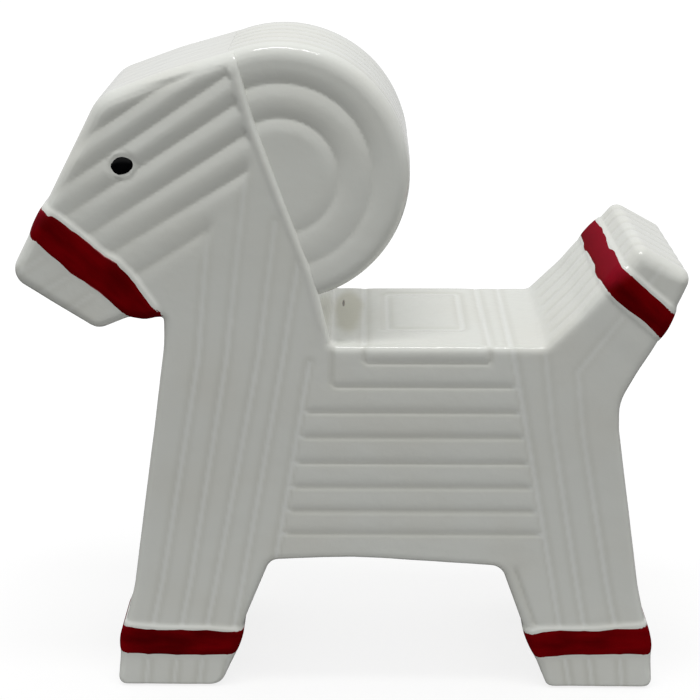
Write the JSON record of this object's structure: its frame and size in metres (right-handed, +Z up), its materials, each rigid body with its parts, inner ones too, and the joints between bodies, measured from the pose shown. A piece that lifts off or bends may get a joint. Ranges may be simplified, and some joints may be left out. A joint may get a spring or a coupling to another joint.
{
  "type": "yule goat figurine",
  "caption": "Free-standing straw-goat figurine in white glazed ceramic, with a round horn sweep, an upright tail and raised red collars on muzzle, tail and legs.",
  "frame": {"origin": "on the floor plane, below the middle of the bounding box", "axes": "+Z up, the nose towards -X, the goat's left side towards -Y"},
  "size_m": [0.1891, 0.0564, 0.1964],
  "materials": {
    "white_glaze": "gloss",
    "red_glaze": "gloss",
    "black_glaze": "gloss"
  },
  "bodies": {
    "root": {"head_shell": "white_glaze", "neck_shell": "white_glaze", "chest_shell": "white_glaze", "horn_shell": "white_glaze", "trunk_shell": "white_glaze", "rump_shell": "white_glaze", "tail_shell": "white_glaze", "foreleg_left": "white_glaze", "foreleg_right": "white_glaze", "hindleg_left": "white_glaze", "hindleg_right": "white_glaze", "muzzle_band": "red_glaze", "tail_band": "red_glaze", "foreleg_band_left": "red_glaze", "foreleg_band_right": "red_glaze", "hindleg_band_left": "red_glaze", "hindleg_band_right": "red_glaze", "eye_left": "black_glaze", "eye_right": "black_glaze"}
  },
  "joints": []
}
